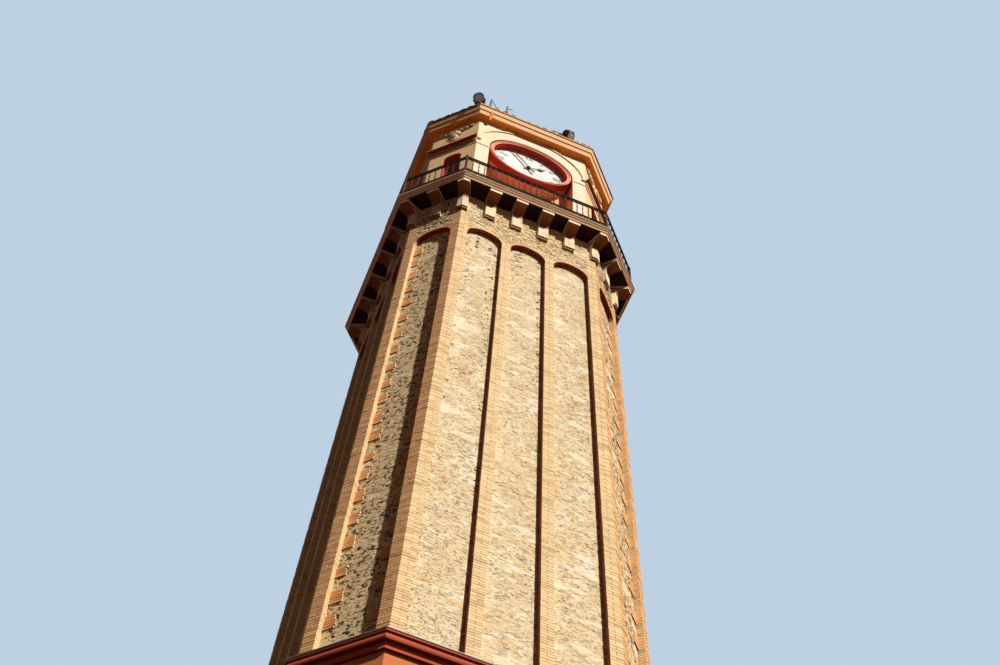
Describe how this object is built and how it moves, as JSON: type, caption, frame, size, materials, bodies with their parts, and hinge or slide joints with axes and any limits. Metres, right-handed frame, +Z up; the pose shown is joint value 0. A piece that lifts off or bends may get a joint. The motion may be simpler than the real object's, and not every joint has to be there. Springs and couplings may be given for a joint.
{
  "type": "clock tower",
  "caption": "Tall octagonal masonry clock tower with brick-framed stone panels, a corbelled iron balcony, arched clock niches and turning hands.",
  "frame": {"origin": "centre of the underside of the ground floor, on the tower's axis at ground level", "axes": "+Z up along the tower's axis, the front dial faces -Y, +X to the right of someone facing that dial"},
  "size_m": [5.028, 5.028, 38.05],
  "materials": {
    "pale_stone": "rough",
    "red_stucco": "matt painted stucco",
    "door_wood": "oiled boards",
    "floor_stone": "worn flags",
    "cornice_paint": "matt paint on plaster",
    "grey_sheet": "weathered sheet",
    "rubble": "rubble in lime mortar",
    "brick": "thin brick in lime mortar",
    "corbel_stone": "dressed stone",
    "peach_paint": "matt paint on plaster",
    "iron": "painted iron",
    "cream_stucco": "matt painted stucco",
    "red_paint": "painted boards",
    "relief_stone": "carved plaster",
    "salmon_paint": "painted plaster",
    "dial_enamel": "white enamel",
    "roof_tile": "fired clay tile",
    "lamp_metal": "painted sheet",
    "black_hand": "black paint"
  },
  "bodies": {
    "tower": {"plinth": "pale_stone", "base_front_wall": "red_stucco", "base_wide_walls": "red_stucco", "base_corner_walls": "red_stucco", "entrance_door": "door_wood", "door_surround": "pale_stone", "ground_floor": "floor_stone", "base_cornice": "cornice_paint", "flashing": "grey_sheet", "shaft_wide_cores": "rubble", "shaft_corner_cores": "rubble", "brick_frame_front": "brick", "brick_frame_right": "brick", "brick_frame_back": "brick", "brick_frame_left": "brick", "brick_frames_corner": "brick", "corbels": "corbel_stone", "corner_corbels": "corbel_stone", "corbel_caps": "corbel_stone", "balcony_slab": "peach_paint", "railing_front": "iron", "railing_right": "iron", "railing_back": "iron", "railing_left": "iron", "railings_corner": "iron", "clock_wall_front": "cream_stucco", "clock_wall_right": "cream_stucco", "clock_wall_back": "cream_stucco", "clock_wall_left": "cream_stucco", "clock_corner_walls": "cream_stucco", "archivolts": "cream_stucco", "string_courses": "peach_paint", "balcony_doors": "red_paint", "reliefs": "relief_stone", "clock_drums": "salmon_paint", "dials": "dial_enamel", "top_cornice": "cream_stucco", "roof": "roof_tile", "floodlights": "lamp_metal", "lamp_frames": "lamp_metal", "lightning_rod": "grey_sheet"},
    "minute_front": {"minute_hand_front": "black_hand"},
    "hour_front": {"hour_hand_front": "black_hand"},
    "minute_right": {"minute_hand_right": "black_hand"},
    "hour_right": {"hour_hand_right": "black_hand"},
    "minute_back": {"minute_hand_back": "black_hand"},
    "hour_back": {"hour_hand_back": "black_hand"},
    "minute_left": {"minute_hand_left": "black_hand"},
    "hour_left": {"hour_hand_left": "black_hand"}
  },
  "joints": [
    {"name": "minute_turn_front", "type": "hinge", "parent": "tower", "child": "minute_front", "pos_m": [0, -1.9, 34.335], "axis": [0, 1, 0], "continuous": true},
    {"name": "hour_turn_front", "type": "hinge", "parent": "tower", "child": "hour_front", "pos_m": [0, -1.9, 34.335], "axis": [0, 1, 0], "continuous": true},
    {"name": "minute_turn_right", "type": "hinge", "parent": "tower", "child": "minute_right", "pos_m": [1.9, 0, 34.335], "axis": [-1, 0, 0], "continuous": true},
    {"name": "hour_turn_right", "type": "hinge", "parent": "tower", "child": "hour_right", "pos_m": [1.9, 0, 34.335], "axis": [-1, 0, 0], "continuous": true},
    {"name": "minute_turn_back", "type": "hinge", "parent": "tower", "child": "minute_back", "pos_m": [0, 1.9, 34.335], "axis": [0, -1, 0], "continuous": true},
    {"name": "hour_turn_back", "type": "hinge", "parent": "tower", "child": "hour_back", "pos_m": [0, 1.9, 34.335], "axis": [0, -1, 0], "continuous": true},
    {"name": "minute_turn_left", "type": "hinge", "parent": "tower", "child": "minute_left", "pos_m": [-1.9, 0, 34.335], "axis": [1, 0, 0], "continuous": true},
    {"name": "hour_turn_left", "type": "hinge", "parent": "tower", "child": "hour_left", "pos_m": [-1.9, 0, 34.335], "axis": [1, 0, 0], "continuous": true}
  ],
  "couplings": [
    {"joint": "hour_turn_front", "follows": "minute_turn_front", "ratio": 0.083333},
    {"joint": "minute_turn_right", "follows": "minute_turn_front", "ratio": 1},
    {"joint": "hour_turn_right", "follows": "minute_turn_front", "ratio": 0.083333},
    {"joint": "minute_turn_back", "follows": "minute_turn_front", "ratio": 1},
    {"joint": "hour_turn_back", "follows": "minute_turn_front", "ratio": 0.083333},
    {"joint": "minute_turn_left", "follows": "minute_turn_front", "ratio": 1},
    {"joint": "hour_turn_left", "follows": "minute_turn_front", "ratio": 0.083333}
  ]
}
